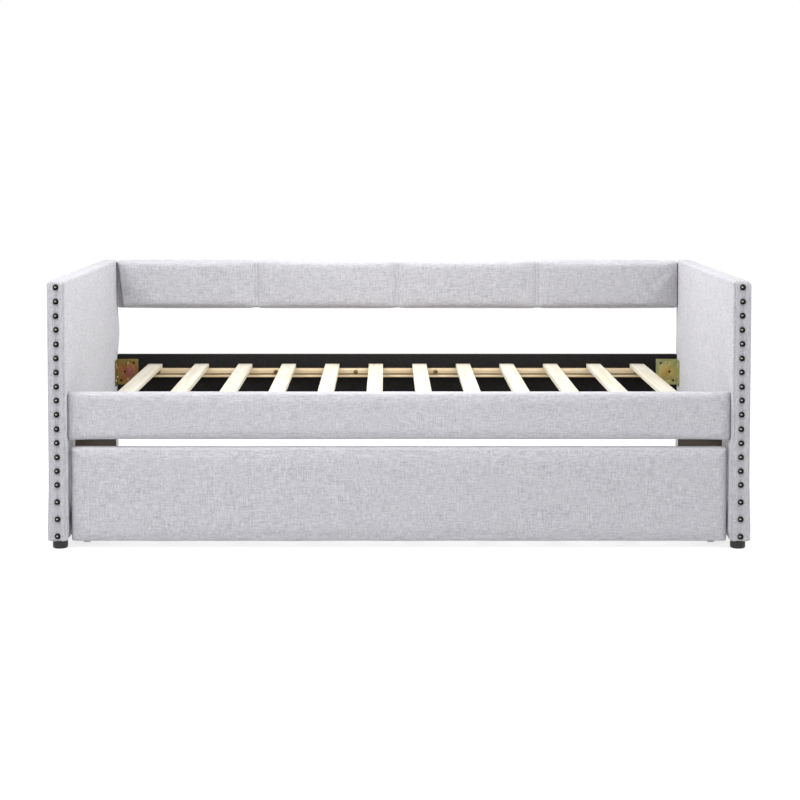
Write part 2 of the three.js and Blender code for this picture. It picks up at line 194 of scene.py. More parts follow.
def linen_material(name, light, dark):
    """Heathered linen weave: light and dark yarn, with short slubs along both thread directions."""
    recipe = Recipe(name, Sheen_Weight=0.08, Sheen_Roughness=0.5, Specular_IOR_Level=0.12)
    facing = recipe.add("ShaderNodeSeparateXYZ", {0: recipe.normal}).outputs
    shares, threads = [], []
    for axis in range(3):
        share = recipe.math("SUBTRACT", 1.0, recipe.math("ABSOLUTE", facing[axis]))
        shares.append(share)
        for long, wide, weight in SLUBS:
            lengths = [wide] * 3
            lengths[axis] = long
            yarn = recipe.noise(lengths, detail=2.0, roughness=0.6)
            threads.append(recipe.math("MULTIPLY", recipe.math("MULTIPLY", yarn, weight), share))
    heather = recipe.math("DIVIDE", recipe.total(threads), recipe.total(shares))
    heather = recipe.range(heather, 0.5 - YARN_SPREAD, 0.5 + YARN_SPREAD)
    cloudy = recipe.noise((38, 38, 38), detail=2.0)
    yarn = recipe.mix(heather, dark, light)
    clouds = recipe.range(cloudy, 0.3, 0.7, 0.99, 1.01)
    grey = recipe.add("ShaderNodeCombineColor", {0: clouds, 1: clouds, 2: clouds}).outputs[0]
    recipe.colour(recipe.mix(1.0, yarn, grey, blend="MULTIPLY"))
    recipe.rough(recipe.range(heather, 0.0, 1.0, 0.95, 0.82))
    x, y, z = recipe.waves(THREAD)
    crossings = recipe.math("ADD", recipe.math("MULTIPLY", x, z), recipe.math("MULTIPLY", y, z))
    crossings = recipe.math("ADD", crossings, recipe.math("MULTIPLY", x, y))
    relief = recipe.math("MULTIPLY_ADD", crossings, 0.16, heather)
    recipe.bump(relief, 0.32, 0.75)
    return recipe.material


def timber_material(name, along, light, dark, brown):
    """Planed pine: fine grain along the board, wider rings and a few brown marks."""
    recipe = Recipe(name, Specular_IOR_Level=0.35)

    def lengths(long, across):
        values = [across] * 3
        values[along] = long
        return values

    rings = recipe.noise(lengths(420, 13), detail=3.0, roughness=0.55, distortion=0.6)
    fibres = recipe.noise(lengths(60, 1.1), detail=2.0, roughness=0.6)
    wood = recipe.mix(recipe.range(rings, 0.34, 0.66), light, dark)
    wood = recipe.mix(recipe.range(fibres, 0.35, 0.8, 0.0, 0.35), wood, dark)
    marks = recipe.noise(lengths(46, 12), detail=2.0, roughness=0.4, distortion=0.8)
    recipe.colour(recipe.mix(recipe.range(marks, 0.70, 0.76, 0.0, 0.8), wood, brown))
    recipe.rough(recipe.range(fibres, 0.3, 0.8, 0.48, 0.66))
    recipe.bump(recipe.math("ADD", fibres, recipe.math("MULTIPLY", rings, 0.5)), 0.25, 0.5)
    return recipe.material


def nonwoven_material(name, light, dark, shine):
    """Thin non-woven cloth, with pressed dots and soft cloudy fibres."""
    recipe = Recipe(name, Specular_IOR_Level=shine)
    clouds = recipe.noise((9, 9, 9), detail=4.0, roughness=0.7)
    recipe.colour(recipe.mix(recipe.range(clouds, 0.32, 0.68), dark, light))
    recipe.rough(recipe.range(clouds, 0.3, 0.7, 0.88, 0.72))
    x, y, z = recipe.waves(DOT_PITCH)
    dots = recipe.math("ADD", recipe.math("MULTIPLY", x, z), recipe.math("MULTIPLY", y, z))
    recipe.bump(recipe.math("MULTIPLY_ADD", dots, 0.3, clouds), 0.2, 0.6)
    return recipe.material


def metal_material(name, light, dark, roughness, patch, relief=0.05):
    """Plated metal with faint stains and fine scratches."""
    recipe = Recipe(name, Metallic=1.0)
    stains = recipe.noise((patch, patch, patch), detail=3.0, roughness=0.6)
    recipe.colour(recipe.mix(recipe.range(stains, 0.35, 0.65), dark, light))
    recipe.rough(recipe.range(stains, 0.3, 0.7, roughness + 0.09, roughness - 0.05))
    recipe.bump(recipe.noise((0.9, 0.9, 0.9), detail=2.0), relief, 0.5)
    return recipe.material


def pewter_material(name):
    """Antique nail finish: dark patina round the rim, and a painted highlight: a bright patch on the upper
    left of each dome's crown.
    """
    recipe = Recipe(name, Metallic=1.0)
    wear_and_highlight = recipe.add("ShaderNodeAttribute", attribute_name="wear_and_highlight").outputs["Fac"]
    stains = recipe.noise((3, 3, 3), detail=3.0, roughness=0.6)
    # Dark patina round the rim, rising to a painted highlight on each dome's bright patch.
    worn_and_highlit = recipe.math("MULTIPLY_ADD", stains, 0.5, recipe.math("SUBTRACT", wear_and_highlight, 0.25))
    patina_and_highlight = recipe.ramp(
        worn_and_highlit, (0.08, shade(24, 21, 20)), (0.42, shade(66, 61, 57)), (0.68, shade(140, 134, 128)),
        (0.9, shade(228, 224, 218)),
    )
    recipe.colour(patina_and_highlight)
    recipe.rough(recipe.range(worn_and_highlit, 0.0, 1.0, 0.5, 0.3))
    recipe.bump(recipe.noise((0.9, 0.9, 0.9), detail=2.0), 0.08, 0.5)
    return recipe.material


# The middle of each corner plate, as (distance from the bed's middle, height), and its film's reach.
PLATE_CENTRE = (943.9, 402.0)
FILM_REACH = 52.0


def zinc_material(name, *stops):
    """Passivated zinc plate: its thin film changes colour from the middle of a plate outwards."""
    recipe = Recipe(name, Metallic=0.75)
    x, _, z = recipe.add("ShaderNodeSeparateXYZ", {0: recipe.place}).outputs
    across = recipe.math("SUBTRACT", recipe.math("ABSOLUTE", x), PLATE_CENTRE[0] * MM)
    up = recipe.math("SUBTRACT", z, PLATE_CENTRE[1] * MM)
    squares = recipe.math("ADD", recipe.math("POWER", across, 2.0), recipe.math("POWER", up, 2.0))
    radius = recipe.math("DIVIDE", recipe.math("SQRT", squares), FILM_REACH * MM)
    drift = recipe.noise((40, 40, 40), detail=3.0, roughness=0.55, distortion=0.8)
    mottle = recipe.noise((5, 5, 5), detail=3.0, roughness=0.6)
    film = recipe.math("MULTIPLY_ADD", drift, 1.3, recipe.math("SUBTRACT", radius, 0.65))
    film = recipe.math("MULTIPLY_ADD", mottle, 0.3, recipe.math("SUBTRACT", film, 0.15))
    recipe.colour(recipe.ramp(recipe.range(film, 0.0, 1.3), *stops))
    recipe.rough(recipe.range(mottle, 0.3, 0.7, 0.30, 0.46))
    recipe.bump(mottle, 0.06, 0.5)
    return recipe.material


def plastic_material(name, light, dark, roughness, patch=7.0):
    """Moulded plastic with a fine spark texture and slightly paler scuffs."""
    recipe = Recipe(name, Specular_IOR_Level=0.4)
    scuffs = recipe.noise((patch, patch, patch), detail=4.0, roughness=0.65)
    recipe.colour(recipe.mix(recipe.range(scuffs, 0.42, 0.72), dark, light))
    recipe.rough(recipe.range(scuffs, 0.3, 0.7, roughness - 0.07, roughness + 0.07))
    recipe.bump(recipe.noise((0.7, 0.7, 0.7), detail=2.0), 0.08, 0.6)
    return recipe.material


LINEN = linen_material("linen", shade(196, 195, 200), shade(139, 139, 144))
# A slightly darker copy of the linen for the arms' front bands: painted shade.
LINEN_BAND_SHADED = linen_material("linen_band_shaded", shade(192, 191, 196), shade(135, 135, 140))
PINE_ACROSS = timber_material(
    "pine_slat", 1, shade(204, 200, 190), shade(190, 181, 158), shade(126, 93, 61)
)
PINE_ALONG = timber_material(
    "pine_ledger", 0, shade(208, 193, 163), shade(186, 164, 128), shade(120, 84, 52)
)
PLYWOOD = timber_material(
    "plywood_board", 0, shade(200, 180, 148), shade(170, 146, 112), shade(120, 90, 62)
)
BLACK_CLOTH = nonwoven_material("black_cloth", shade(33, 31, 31), shade(23, 22, 22), 0.12)
DUST_CLOTH = nonwoven_material("dust_cloth", shade(76, 69, 65), shade(60, 54, 50), 0.0)
PEWTER = pewter_material("antique_pewter")
ZINC_LEFT = zinc_material(
    "zinc_pink",
    (0.05, shade(152, 94, 82)),
    (0.35, shade(150, 102, 60)),
    (0.62, shade(134, 116, 62)),
    (0.95, shade(112, 112, 74)),
)
ZINC_RIGHT = zinc_material(
    "zinc_yellow",
    (0.05, shade(196, 164, 92)),
    (0.35, shade(188, 174, 108)),
    (0.65, shade(158, 162, 112)),
    (0.95, shade(182, 172, 132)),
)
ZINC_BOLT = metal_material("zinc_bolt", shade(196, 182, 150), shade(158, 142, 108), 0.3, 3.0)
BRASS = metal_material("brass_screw", shade(150, 134, 86), shade(92, 80, 48), 0.34, 4.0)
STEEL = metal_material("steel", shade(186, 186, 188), shade(150, 150, 154), 0.3, 9.0)
FOOT_PLASTIC = plastic_material("foot_plastic", shade(40, 37, 36), shade(25, 23, 22), 0.38)
WHEEL_PLASTIC = plastic_material("wheel_plastic", shade(84, 84, 88), shade(56, 56, 60), 0.4)

NODE_MATERIALS = {
    "upholstery": LINEN,
    "frame_wood": PLYWOOD,
    "pine": PINE_ALONG,
    "black_cloth": BLACK_CLOTH,
    "nailheads": PEWTER,
    "zinc_plate": ZINC_LEFT,
    "steel": STEEL,
    "feet": FOOT_PLASTIC,
    "wheels": WHEEL_PLASTIC,
}
SLOTS = {}
for node_name, node in frame["nodes"].items():
    SLOTS[node_name] = node.data.materials[0].name.split(".")[0]
    node.data.materials[0] = NODE_MATERIALS[SLOTS[node_name]]


# ---------------------------------------------------------------- making pieces


def piece_from(name, shape, material, body, sharp=40):
    """A new object from (points in millimetres, faces), riding on a body."""
    points, faces = shape
    mesh = bpy.data.meshes.new(name)
    mesh.from_pydata((np.asarray(points, float) * MM).tolist(), [], faces)
    mesh.materials.append(material)
    mesh.shade_smooth()
    mesh.set_sharp_from_angle(angle=math.radians(sharp))
    piece = bpy.data.objects.new(name, mesh)
    bpy.context.scene.collection.objects.link(piece)
    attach(piece, body)
    return piece


def merged(shapes):
    """Several shapes as one."""
    points, faces = [], []
    for some_points, some_faces in shapes:
        start = len(points)
        points.extend(np.asarray(some_points, float).tolist())
        faces.extend([tuple(start + i for i in face) for face in some_faces])
    return points, faces


AXES = {"x": (1, 2, 0), "y": (2, 0, 1), "z": (0, 1, 2)}


def turned(profile, centre, axis="z", flip=False, steps=40):
    """A closed round shape: the profile is (radius, height) pairs from the lower end to the upper."""
    order = AXES[axis]
    points, faces, rings = [], [], []
    for radius, height in profile:
        ring = []
        for step in range(steps if radius > 1e-6 else 1):
            angle = 2 * math.pi * step / steps
            local = (radius * math.cos(angle), radius * math.sin(angle), height)
            place = [0.0, 0.0, 0.0]
            for value, where in zip(local, order):
                place[where] = value
            if flip:
                place = [-value for value in place]
            ring.append(len(points))
            points.append(np.array(place) + centre)
        rings.append(ring)
    for lower, upper in zip(rings, rings[1:]):
        for step in range(steps):
            after = (step + 1) % steps
            a, b = lower[step % len(lower)], lower[after % len(lower)]
            c, d = upper[after % len(upper)], upper[step % len(upper)]
            face = tuple(dict.fromkeys((a, b, c, d)))
            if len(face) > 2:
                faces.append(face[::-1] if flip else face)
    if len(rings[0]) > 1:
        faces.append(tuple(rings[0] if flip else rings[0][::-1]))
    if len(rings[-1]) > 1:
        faces.append(tuple(rings[-1][::-1] if flip else rings[-1]))
    return points, faces


def refined(node, name, material, bevel, segments=2):
    """A CAD part again, with its sharp edges broken by a small bevel."""
    source = frame["nodes"][node]
    shape = bmesh.new()
    shape.from_mesh(source.data)
    bmesh.ops.remove_doubles(shape, verts=shape.verts, dist=1e-6)
    bmesh.ops.dissolve_limit(
        shape, angle_limit=math.radians(0.5), verts=shape.verts, edges=shape.edges
    )
    edges = [e for e in shape.edges if e.is_manifold and e.calc_face_angle() > math.radians(35)]
    bmesh.ops.bevel(
        shape, geom=edges, offset=bevel * MM, segments=segments, profile=0.5,
        affect="EDGES", clamp_overlap=True,
    )
    mesh = bpy.data.meshes.new(name)
    shape.to_mesh(mesh)
    shape.free()
    mesh.materials.clear()
    mesh.materials.append(material)
    mesh.shade_smooth()
    mesh.set_sharp_from_angle(angle=math.radians(30))
    piece = bpy.data.objects.new(name, mesh)
    bpy.context.scene.collection.objects.link(piece)
    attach(piece, source["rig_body"])
    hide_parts(node)


EDGE_TURNS = 4


def grid_lines(low, high, radius, step, extra=()):
    """Grid places from low to high: close together round both edges, step apart between them."""
    angles = [math.radians(45 * i / EDGE_TURNS) for i in range(EDGE_TURNS, -1, -1)]
    edge = [radius * (1 - math.tan(angle)) for angle in angles]
    count = max(1, math.ceil((high - low - 2 * radius) / step))
    middle = np.linspace(low + radius, high - radius, count + 1)[1:-1]
    extra = [e for e in extra if low + radius < e < high - radius]
    middle = [m for m in middle if all(abs(m - e) > 0.3 * step for e in extra)]
    lines = [low + e for e in edge] + sorted([*middle, *extra]) + [high - e for e in edge[::-1]]
    return np.array(lines)


def beside(centres, offsets):
    """Extra grid places on and close to each centre."""
    return [centre + offset for centre in centres for offset in offsets]


class Pad:
    """A padded cover: a closed grid of quads with rounded edges, shaped along its normals."""

    def __init__(self, name, low, high, radius, step, extra=((), (), ()), side=1):
        self.name = name
        self.low, self.high = np.array(low, float), np.array(high, float)
        lines = [grid_lines(self.low[i], self.high[i], radius, step, extra[i]) for i in range(3)]
        self.flat, self.faces = self._grid(lines)
        inner = np.clip(self.flat, self.low + radius, self.high - radius)
        out = self.flat - inner
        length = np.linalg.norm(out, axis=1, keepdims=True)
        rounded = inner + out * radius / np.maximum(length, 1e-9)
        self.points = np.where(length > radius * 0.999, rounded, self.flat)
        self.side = side
        if side < 0:
            self.faces = [face[::-1] for face in self.faces]
        self.held = np.zeros(len(self.points), bool)
        self.mesh = bpy.data.meshes.new(name)
        self.mesh.from_pydata(self._placed().tolist(), [], self.faces)
        self.mesh.shade_smooth()
        self.piece = bpy.data.objects.new(name, self.mesh)
        bpy.context.scene.collection.objects.link(self.piece)

    @staticmethod
    def _grid(lines):
        last = [len(line) - 1 for line in lines]
        index, points, faces = {}, [], []

        def corner(key):
            if key not in index:
                index[key] = len(points)
                points.append([lines[axis][key[axis]] for axis in range(3)])
            return index[key]

        for axis in range(3):
            one, two = (axis + 1) % 3, (axis + 2) % 3
            for end in (0, last[axis]):
                for i in range(last[one]):
                    for j in range(last[two]):
                        face = []
                        for a, b in ((i, j), (i + 1, j), (i + 1, j + 1), (i, j + 1)):
                            key = [0, 0, 0]
                            key[axis], key[one], key[two] = end, a, b
                            face.append(corner(tuple(key)))
                        faces.append(tuple(face if end else face[::-1]))
        return np.array(points), faces

    def _placed(self):
        return self.points * (self.side * MM, MM, MM)

    def normals(self):
        """Outward direction at each point, as on the right-hand part."""
        found = np.empty(len(self.points) * 3, np.float32)
        self.mesh.vertex_normals.foreach_get("vector", found)
        return found.reshape(-1, 3) * (self.side, 1, 1)

    def write(self):
        self.mesh.vertices.foreach_set("co", self._placed().astype(np.float32).ravel())
        self.mesh.update()

    def lift(self, amount):
        """Moves each point along its normal, by millimetres."""
        self.points = self.points + self.normals() * np.asarray(amount)[:, None]
        self.write()

    def move(self, offsets):
        self.points = self.points + offsets
        self.write()

    def finish(self, body, nodes, fill, material=LINEN):
        self.mesh.materials.append(material)
        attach(self.piece, body)
        if nodes:
            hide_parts(*nodes)


def bell(distance, width):
    """1 at no distance, falling smoothly to almost nothing at twice the width."""
    return np.exp(-((distance / width) ** 2))


def unevenness(points, size, seed):
    """Smooth noise from about -1 to 1, with bumps about size millimetres across."""
    offset = Vector((seed * 7.31, seed * 3.77, seed * 5.13))
    return np.array([noise.noise(Vector(p) / size + offset) for p in points])


def swell(pads, pressure, most, frames=14):
    """Blows the covers up as cloth against the points that hold them, then keeps the result."""
    scene = bpy.context.scene
    for pad in pads:
        held = pad.piece.vertex_groups.new(name="held")
        held.add(np.nonzero(pad.held)[0].tolist(), 1.0, "REPLACE")
        cloth = pad.piece.modifiers.new("cloth", "CLOTH")
        cloth.point_cache.frame_start = 1
        cloth.point_cache.frame_end = frames
        settings = cloth.settings
        settings.quality = 4
        settings.mass = 0.3
        settings.tension_stiffness = 22
        settings.compression_stiffness = 22
        settings.shear_stiffness = 8
        settings.bending_stiffness = 0.8
        settings.use_pressure = True
        settings.uniform_pressure_force = pressure
        settings.vertex_group_mass = "held"
        settings.effector_weights.gravity = 0
    for number in range(1, frames + 1):
        scene.frame_set(number)
    graph = bpy.context.evaluated_depsgraph_get()
    for pad in pads:
        swollen = np.empty(len(pad.points) * 3, np.float32)
        pad.piece.evaluated_get(graph).data.vertices.foreach_get("co", swollen)
        swollen = swollen.reshape(-1, 3) / (pad.side * MM, MM, MM)
        moved = swollen - pad.points
        length = np.maximum(np.linalg.norm(moved, axis=1, keepdims=True), 1e-6)
        pad.move(moved * most * np.tanh(length / most) / length)
        pad.piece.modifiers.clear()
        pad.piece.vertex_groups.clear()
    scene.frame_set(1)


# ---------------------------------------------------------------- upholstery

BACK_SEAMS = (-492.0, 0.0, 490.0)
STITCH_GAP = 11.0
STITCH_LINES = [seam + gap for seam in BACK_SEAMS for gap in (-STITCH_GAP / 2, STITCH_GAP / 2)]
NAIL_X = 1009.0
NAIL_HEIGHTS = [775.4 - 41.8 * i for i in range(15)] + [139.2, 88.2, 37.2]
BAND_INNER = 985.5
BAND_TOP = 790.0
BAND_FACE = -536.4
BAND_THICK = 15.0
BAND_ROUND = 6.5
CORNER_ROUND = {"left": 10.0, "right": 15.0}
BULGE = {"left": 2.0, "right": 6.0}
BOARD_COVER = 0.1

# Where the arms' inner faces touch or pass other parts, so that their fabric stays flat: beside the
# trundle's space, beside the rails and corner plates, and beside the backrest's end.
TRUNDLE_SPACE_TOP = 330.0
RAILS_TOP = 470.0
RAILS_INNER = 410.0
BACKREST_LOW = 620.0
BACKREST_FRONT = 470.0

# The bed's top, and where the backrest's crease starts beside the right arm.
BED_TOP = 794.0
CREASE_START = 980.0


def nail_places(seed):
    """Where one arm's nails sit on its front: driven by hand, so not quite in line."""
    draw = random.Random(seed)
    return [(NAIL_X + draw.uniform(-0.8, 0.8), z + draw.uniform(-0.9, 0.9)) for z in NAIL_HEIGHTS]


NAILS = {"left": nail_places(3), "right": nail_places(11)}


def round_corner(pad, radius):
    """Rounds the edge between the top and the outer side of an arm."""
    high = box("arm_cover_right")[1]
    across = pad.points[:, 0] - (high[0] - radius)
    up = pad.points[:, 2] - (high[2] - radius)
    reach = np.maximum(across, up)
    away = np.maximum(np.hypot(across, up), 1e-6)
    share = np.where((across > 0) & (up > 0), reach / away, 1.0)
    offsets = np.zeros((len(across), 3))
    offsets[:, 0] = across * (share - 1)
    offsets[:, 2] = up * (share - 1)
    pad.move(offsets)


def lower_bulge(pad, most):
    """The wrapped fabric stands out towards the trundle below the front rail, and outwards low down."""
    x, y, z = pad.flat.T
    rise = np.clip((326 - z) / 16, 0, 1)
    rise = rise * rise * (3 - 2 * rise) * np.clip((z - 22) / 30, 0.5, 1)
    ahead = np.clip((-478 - y) / 26, 0, 1)
    offsets = np.zeros((len(x), 3))
    offsets[:, 0] = -most * rise * ahead * np.clip((1012 - x) / 30, 0, 1)
    offsets[:, 0] += 3.5 * np.clip((x - 1010) / 25, 0, 1) * np.clip((190 - z) / 120, 0, 1)
    pad.move(offsets)


def make_arm(place):
    """The big cover of one arm, all but the band on its front."""
    low, high = box("arm_cover_right")
    seam = (-6, -3.0, -1.4, 0.0, 1.4, 3.0, 6)
    extra = (beside([BAND_INNER + 1], seam), beside([-525], (-6, 0, 6)), beside([782], seam))
    pad = Pad(
        f"arm_cover_pad_{place}", (low[0], low[1] + 1.2, low[2]), (high[0] - 0.5, high[1], high[2]),
        radius=7.5, step=8.0, extra=extra, side=SIDES[place],
    )
    x, y, z = pad.flat.T
    edge = np.minimum.reduce([y - pad.low[1], pad.high[1] - y, z - pad.low[2], pad.high[2] - z])
    on_face = (x < pad.low[0] + 0.1) | (x > pad.high[0] - 0.1)
    behind_parts = (x < pad.low[0] + 7) & (
        (z < TRUNDLE_SPACE_TOP)
        | ((z < RAILS_TOP) & (np.abs(y) > RAILS_INNER))
        | ((z > BACKREST_LOW) & (y > BACKREST_FRONT))
    )
    pad.held = ~on_face | (edge < 16) | behind_parts
    return pad


def dress_arm(pad, place):
    """Seams, slack and unevenness of an arm cover."""
    x, y, z = pad.flat.T
    front = y < pad.low[1] + 0.1
    rear = y > pad.high[1] - 0.1
    top = z > pad.high[2] - 0.1
    faces = (x < pad.low[0] + 0.1) | (x > pad.high[0] - 0.1)
    under_band = front & (x > BAND_INNER + 5) & (z < BAND_TOP - 6)
    amount = np.where(under_band, -5.0, 0.0)
    amount -= np.where(front, 1.8 * bell(x - BAND_INNER - 2, 2.6), 0.0)
    amount -= np.where(rear, 1.4 * bell(x - BAND_INNER, 1.7), 0.0)
    amount -= np.where(top, 1.2 * bell(x - BAND_INNER, 1.8), 0.0)
    amount -= np.where(faces & (x < 1000), 0.8 * bell(z - BAND_TOP, 2.0), 0.0)
    amount += np.where(faces, 0.45 * unevenness(pad.flat, 130, 1 + pad.side), 0.0)
    amount += 0.4 * unevenness(pad.flat, 45, 14 + pad.side) * np.clip((796 - y) / 400, 0, 1)
    if place == "left":
        amount += 5.5 * bell(y - 540, 60) * bell(z - 546, 62) * (x < pad.low[0] + 8)
    pad.lift(amount)
    round_corner(pad, CORNER_ROUND[place])
    lower_bulge(pad, BULGE[place])


def make_band(place):
    """The strip of fabric down the front of one arm, which the nails hold."""
    low, high = box("arm_cover_right")
    pad = Pad(
        f"arm_front_band_{place}", (BAND_INNER, BAND_FACE, low[2] + 0.3),
        (high[0], BAND_FACE + BAND_THICK, BAND_TOP), radius=BAND_ROUND, step=3.0, side=SIDES[place],
    )
    x, y, z = pad.flat.T
    front = y < pad.low[1] + 0.1
    near = np.min([np.hypot(x - nx, z - nz) for nx, nz in NAILS[place]], axis=0)
    pad.held = ~front | (near < 6.0)
    return pad


def dress_band(pad, place):
    """The trough and dimples under the nails, puckers round them, and the turned edges."""
    x, y, z = pad.flat.T
    front = np.clip((pad.low[1] + BAND_ROUND - y) / BAND_ROUND, 0, 1)
    wander = 1.6 * np.array([noise.noise(Vector((0, 3.1 * pad.side, value / 80))) for value in z])
    trough = bell(x - NAIL_X - wander, 8.0) * (1 - 0.6 * bell(z - BAND_TOP, 10))
    amount = 1.6 * bell(x - 1022, 6) + 1.8 * bell(x - 995, 5) - 4.6 * trough
    amount -= 2.6 * np.clip((x - 1027) / 8, 0, 1) ** 2 + 2.4 * np.clip((992 - x) / 6, 0, 1) ** 2
    draw = random.Random(21 + pad.side)
    for nail_x, nail_z in NAILS[place]:
        dx, dz = x - nail_x, z - nail_z
        away = np.hypot(dx, dz)
        angle = np.arctan2(dz, dx)
        folds = draw.choice((5, 6, 7))
        turn = draw.uniform(0, 6.28)
        amount -= 0.8 * bell(away, 10.5)
        amount += (0.3 + 0.6 * np.cos(folds * angle + turn)) * bell(away - 13, 4.5)
    amount += 0.45 * unevenness(pad.flat, 30, 5 + pad.side)
    pad.lift(amount * front)
    round_corner(pad, CORNER_ROUND[place])
    lower_bulge(pad, BULGE[place])


def make_backrest():
    """The padded back, held behind, at its ends and along its stitched seams."""
    low, high = box("backrest_cover")
    across = beside(STITCH_LINES, (-3.4, -1.7, 0.0, 1.7, 3.4)) + beside([low[0]], range(14, 38, 2))
    pad = Pad(
        "backrest_pad", (low[0], low[1] + 3, low[2] - 2.5), (high[0], high[1] - 1, high[2] - 0.5),
        radius=12.0, step=8.5, extra=(across, (), ()),
    )
    x, y = pad.flat[:, 0], pad.flat[:, 1]
    seam = np.min([np.abs(x - line) for line in STITCH_LINES], axis=0)
    pad.held = (y > 530) | (seam < 1.0) | (np.abs(x) > 979)
    return pad


def dress_backrest(pad):
    """The seams, the loose left end and the soft dent at the right one."""
    x, y, z = pad.flat.T
    amount = np.zeros(len(x))
    for place, line in enumerate(STITCH_LINES):
        depth = 1.7 if place % 2 else 1.3
        amount -= depth * bell(x - line, 1.6) + 1.1 * bell(x - line, 11)
    pull = np.array([noise.noise(Vector((value / 24, 0, 4))) for value in z + x])
    amount += 0.35 * pull
    front = np.clip((pad.high[1] - y) / 30, 0, 1)
    # A crease slants down and inwards from the top right corner.
    dent = np.abs((CREASE_START - x) - 1.05 * (BED_TOP - z)) / 1.45
    reach = np.clip(1 - (CREASE_START - x) / 170, 0, 1)
    amount -= 4.5 * bell(dent, 15) * reach * front
    amount += 1.2 * unevenness(pad.flat, 150, 9) * front
    pad.lift(amount)
    # The loose left end falls back, over a width that grows downwards.
    wedge = 2.0 + 20.0 * np.clip((BED_TOP - z) / 165, 0, 1)
    behind = np.clip((wedge + 4 - (x - pad.low[0])) / 5, 0, 1)
    ends = np.zeros((len(x), 3))
    ends[:, 1] = 17.0 * behind * np.clip((520 - y) / 20, 0, 1) * np.clip((790 - z) / 30, 0, 1)
    ends[:, 2] = -3.0 * bell(x - 925, 38) * (z > 740)
    pad.move(ends)


def make_front_rail():
    """The padded rail in front of the slats, held behind and at its ends."""
    low, high = box("front_rail_cover")
    back = box("front_rail_board")[1][1] + BOARD_COVER
    pad = Pad(
        "front_rail_pad", (low[0], low[1] + 1, low[2] - 1), (high[0], back, high[2]),
        radius=9.0, step=8.0,
    )
    y = pad.flat[:, 1]
    pad.held = (y > low[1] + 20) | (np.abs(pad.flat[:, 0]) > 970)
    return pad


def make_trundle_front():
    """The padded front of the trundle, held behind."""
    low, high = box("trundle_front_cover")
    back = box("trundle_front_board")[1][1] + BOARD_COVER
    pad = Pad(
        "trundle_front_pad", (low[0], low[1] + 1, low[2]), (high[0], back, high[2]),
        radius=9.0, step=8.5,
    )
    y = pad.flat[:, 1]
    pad.held = y > low[1] + 18
    return pad


def dress_board(pad, seed, wave):
    """A board's cover: nearly flat, and never quite even."""
    x, y, z = pad.flat.T
    front = np.clip((pad.high[1] - y) / 12, 0, 1)
    amount = wave * unevenness(pad.flat, 120, seed) + 0.4 * wave * unevenness(pad.flat, 42, seed + 2)
    pad.lift(amount * front)


THREAD_PROFILE = [(0, -2.1), (0.385, -1.8), (0.55, -1.05), (0.55, 1.05), (0.385, 1.8), (0, 2.1)]


def stitches(surface, line_x, heights, front_y):
    """Short threads lying on the cover along one seam line."""
    shapes = []
    for z in heights:
        hit = surface.ray_cast(Vector((line_x, front_y - 60, z)) * MM, Vector((0, 1, 0)))[0]
        if hit is None:
            continue
        y = hit.y / MM - 0.15
        shapes.append(turned(THREAD_PROFILE, np.array((line_x, y, z)), "z", steps=8))
    return shapes


def tree_of(pad):
    """The pad's surface, for finding where a straight line meets it."""
    return BVHTree.FromPolygons([Vector(p) for p in pad._placed()], pad.faces)


arms = {place: make_arm(place) for place in SIDES}
bands = {place: make_band(place) for place in SIDES}
backrest = make_backrest()
front_rail = make_front_rail()
trundle_front = make_trundle_front()
swell([*arms.values()], pressure=2.2, most=2.0)
swell([*bands.values()], pressure=5.0, most=2.5)
swell([backrest], pressure=4.0, most=3.5)
swell([front_rail, trundle_front], pressure=2.6, most=3.0)
for place in SIDES:
    dress_arm(arms[place], place)
    dress_band(bands[place], place)
    arms[place].finish("daybed", [f"arm_cover_{place}"], fill=0.8)
    bands[place].finish("daybed", [], fill=0.6, material=LINEN_BAND_SHADED)
dress_backrest(backrest)
backrest.finish("daybed", ["backrest_cover", "backrest_board"], fill=0.7)
dress_board(front_rail, seed=13, wave=0.6)
front_rail.finish("daybed", ["front_rail_cover", "front_rail_board"], fill=0.8)
dress_board(trundle_front, seed=17, wave=0.9)
trundle_front.finish("trundle", ["trundle_front_cover", "trundle_front_board"], fill=0.8)

backrest_surface = tree_of(backrest)
STITCH_HEIGHTS = np.arange(646, 781, 6.4)
seam_threads = []
for line in STITCH_LINES:
    seam_threads += stitches(backrest_surface, line, STITCH_HEIGHTS, box("backrest_cover")[0][1])
piece_from("backrest_stitches", merged(seam_threads), LINEN, "daybed")


# ---------------------------------------------------------------- nails

NAIL_PROFILE = [
    (0, -3.4), (6.0, -3.4), (7.6, -1.2), (8.25, -0.6), (8.45, 0.1), (8.3, 0.75), (7.75, 1.15), (7.2, 1.25),
    (6.9, 1.55), (6.4, 2.2), (5.5, 3.0), (4.3, 3.65), (2.9, 4.1), (1.4, 4.35), (0, 4.42),
]
NAIL_BASE = -535.2
# The painted highlight on each dome, a bright patch set up and to the left of its crown: its place across
# and up from the nail's middle, and its reach.
HIGHLIGHT_CENTRE = {"left": (-1.0, 0.8), "right": (-2.2, 0.9)}
HIGHLIGHT_REACH = (7.4, 4.8)


def make_nails(place):
    """One arm's row of domed nails, each with a painted highlight near its crown."""
    shapes, wear_and_highlight = [], []
    for x, z in NAILS[place]:
        centre = np.array((SIDES[place] * x, NAIL_BASE, z))
        shape = turned(NAIL_PROFILE, centre, "y", flip=True)
        shapes.append(shape)
        # The painted highlight's patch sits to the upper left of each crown.
        across, up = HIGHLIGHT_CENTRE[place]
        for point in shape[0] - centre:
            away = math.hypot((point[0] - across) / HIGHLIGHT_REACH[0], (point[2] - up) / HIGHLIGHT_REACH[1])
            wear_and_highlight.append(max(0.0, 1 - away))
    piece = piece_from(f"nailheads_{place}", merged(shapes), PEWTER, "daybed", sharp=60)
    layer = piece.data.attributes.new("wear_and_highlight", "FLOAT", "POINT")
    layer.data.foreach_set("value", wear_and_highlight)
    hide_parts(f"nailhead_row_{place}")


for place in SIDES:
    make_nails(place)


# ---------------------------------------------------------------- timber and metal

